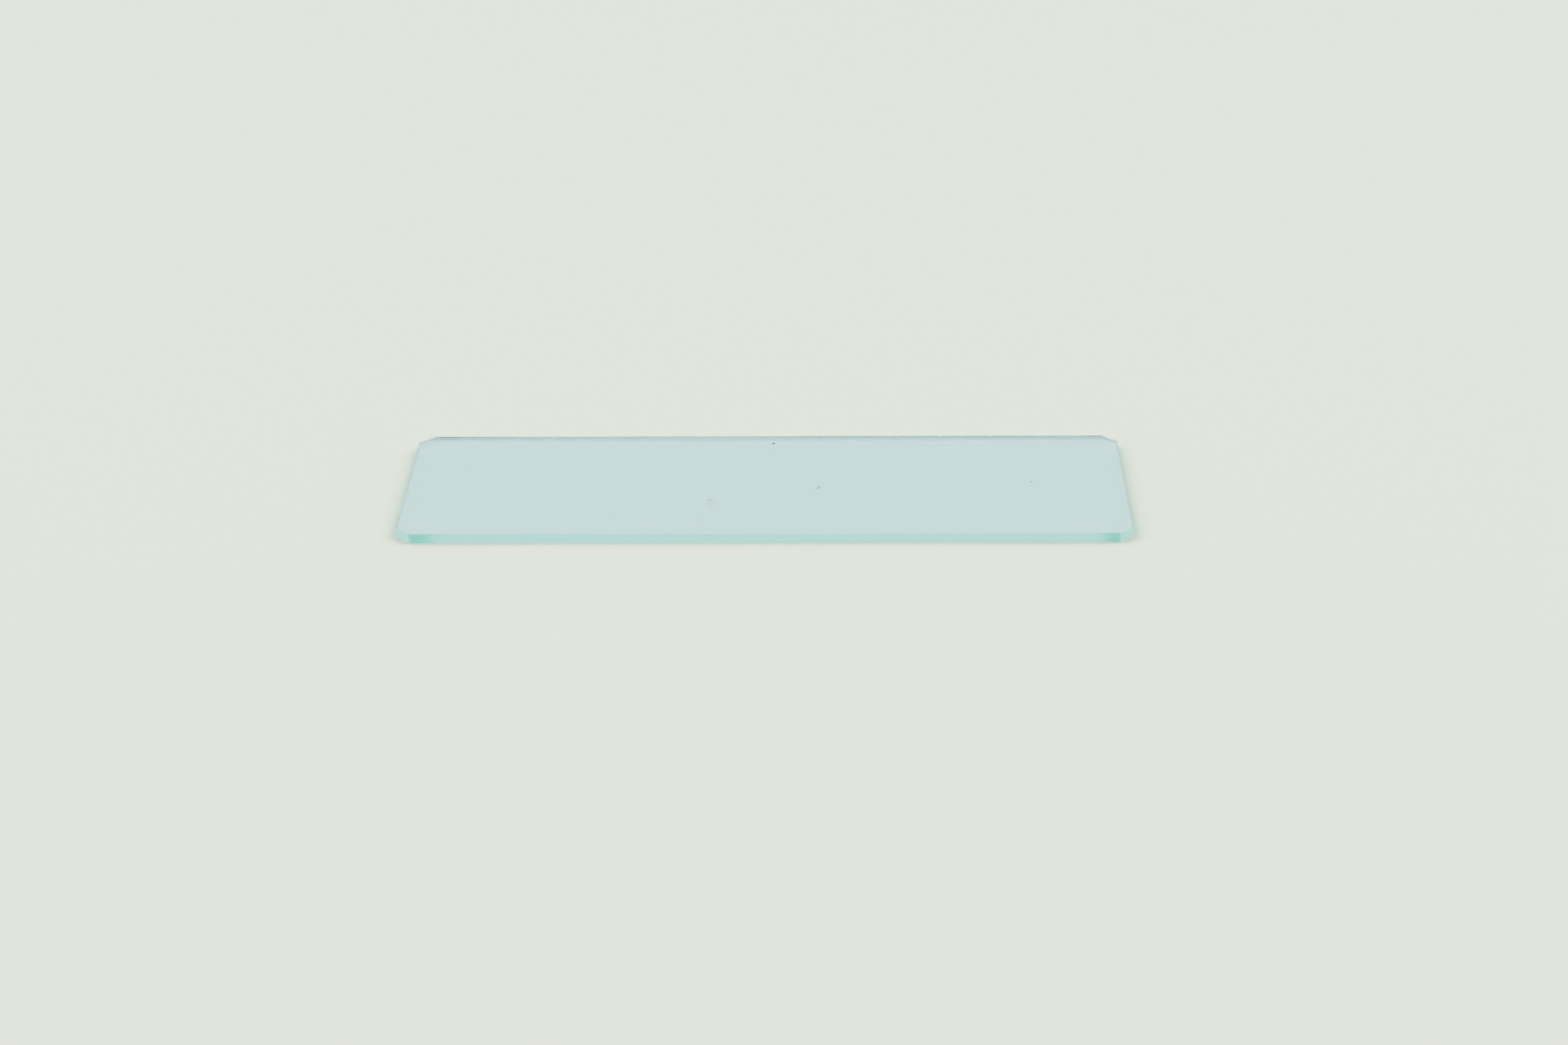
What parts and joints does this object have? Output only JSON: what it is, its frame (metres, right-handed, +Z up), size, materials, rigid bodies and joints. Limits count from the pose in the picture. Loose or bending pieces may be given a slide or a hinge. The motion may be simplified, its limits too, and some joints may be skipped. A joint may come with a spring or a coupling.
{
  "type": "microscope slide",
  "caption": "Flat clear glass plate with clipped corners and plain cut edges, for carrying a specimen under a microscope.",
  "frame": {"origin": "middle of the underside, on the surface that the slide lies on", "axes": "+X along the long side, +Y across the width, +Z up through the thickness"},
  "size_m": [0.076, 0.026, 0.001],
  "materials": {
    "clear_glass": "clear colourless soda-lime sheet glass with fire-bright faces; teal where it is seen through a cut edge",
    "dust": "matt lint specks, dark grey to pale and one of them pinkish, lying loose on the upper face"
  },
  "bodies": {
    "root": {"glass_slide": "clear_glass"}
  },
  "joints": []
}
